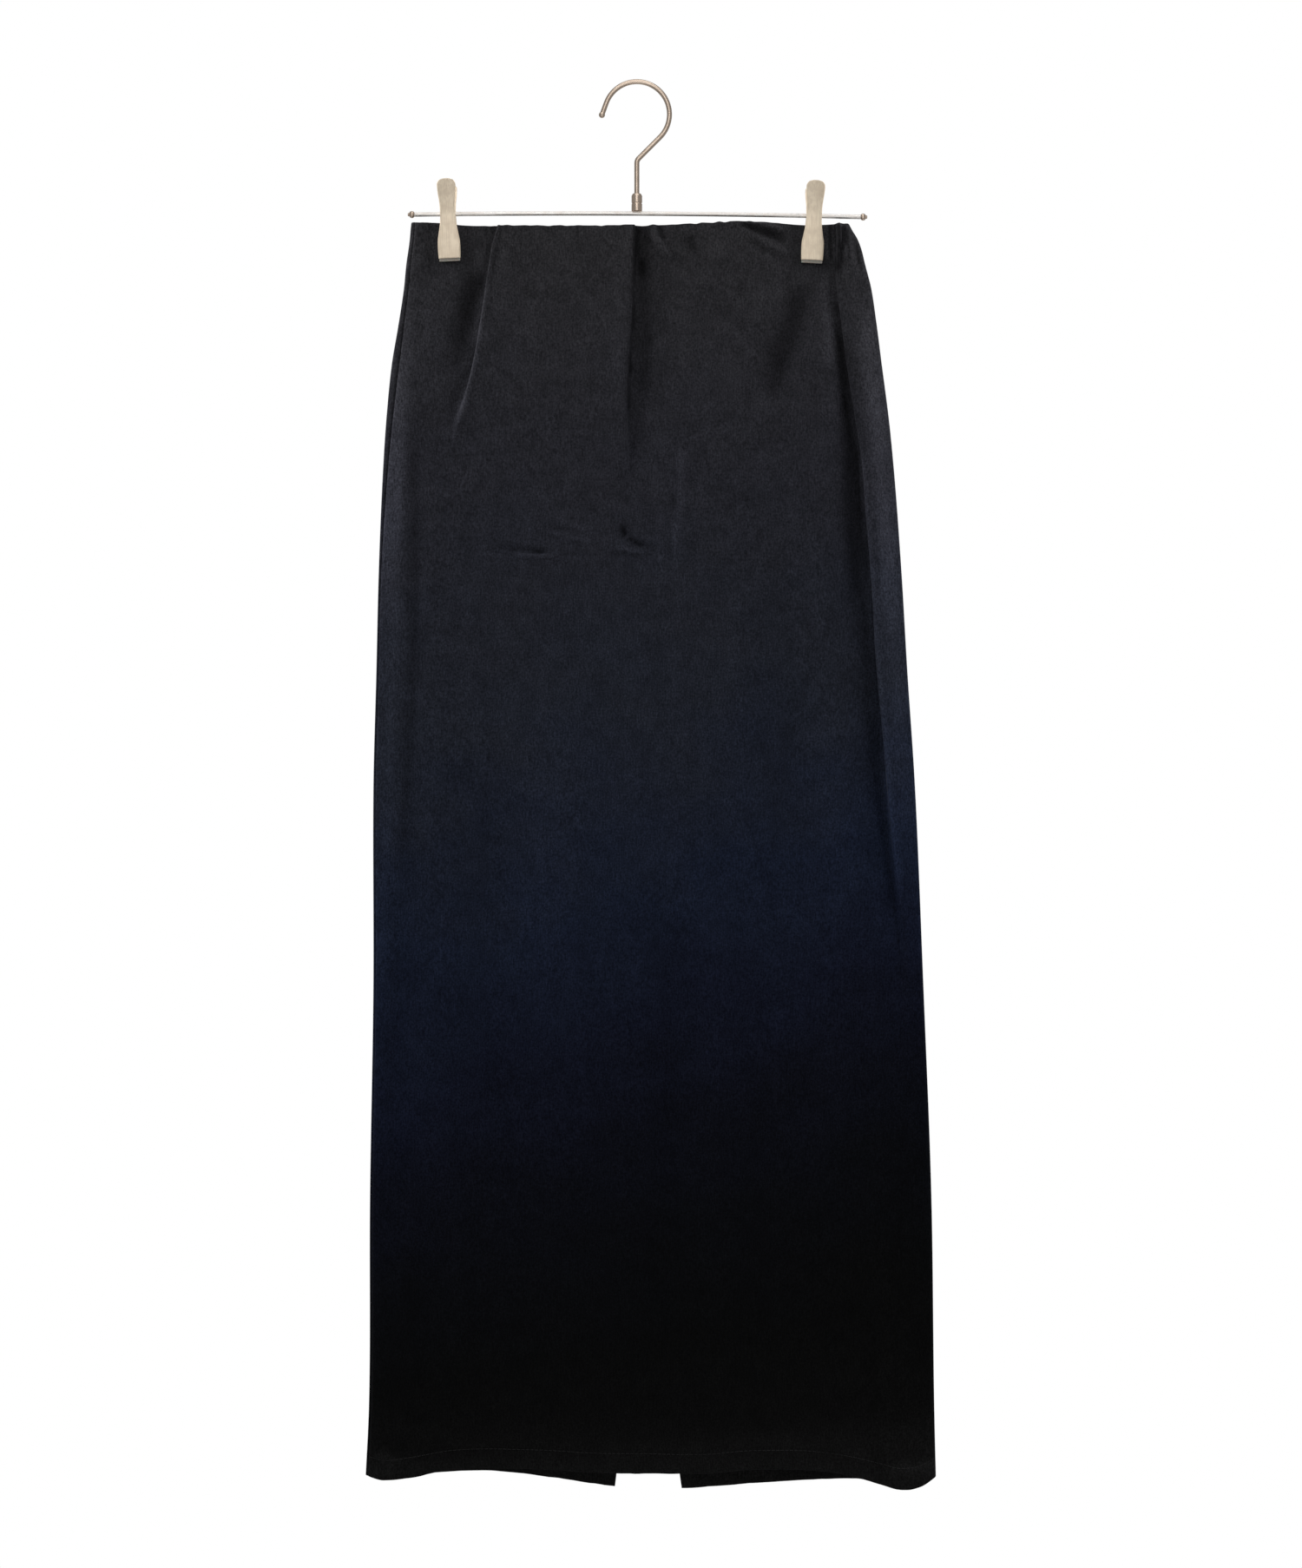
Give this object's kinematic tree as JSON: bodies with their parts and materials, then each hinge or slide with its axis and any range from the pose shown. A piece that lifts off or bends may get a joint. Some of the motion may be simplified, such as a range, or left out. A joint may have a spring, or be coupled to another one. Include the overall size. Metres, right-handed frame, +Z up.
{
  "type": "long straight skirt on a clip hanger",
  "caption": "Long straight black satin skirt with a gathered, tucked waist and a back slit, hanging flat from a steel clip hanger.",
  "frame": {"origin": "top of the inside of the hook, where a rail carries the hanger", "axes": "+Z up, along the hanging length; -Y is the front of the skirt; +X is the viewer's right"},
  "size_m": [0.4276, 0.0238, 1.0562],
  "materials": {
    "cloth": "peached satin, soft low sheen",
    "steel": "satin nickel plate",
    "pad": "greyed clear grip pad"
  },
  "bodies": {
    "root": {"front_panel": "cloth", "back_panel_left": "cloth", "back_panel_right": "cloth", "hook": "steel", "ferrule": "steel", "bar": "steel", "bar_cap_left": "steel", "bar_cap_right": "steel", "clip_left_front_jaw": "steel", "clip_left_back_jaw": "steel", "clip_left_front_pad": "pad", "clip_left_back_pad": "pad", "clip_left_spring": "steel", "clip_right_front_jaw": "steel", "clip_right_back_jaw": "steel", "clip_right_front_pad": "pad", "clip_right_back_pad": "pad", "clip_right_spring": "steel"}
  },
  "joints": []
}
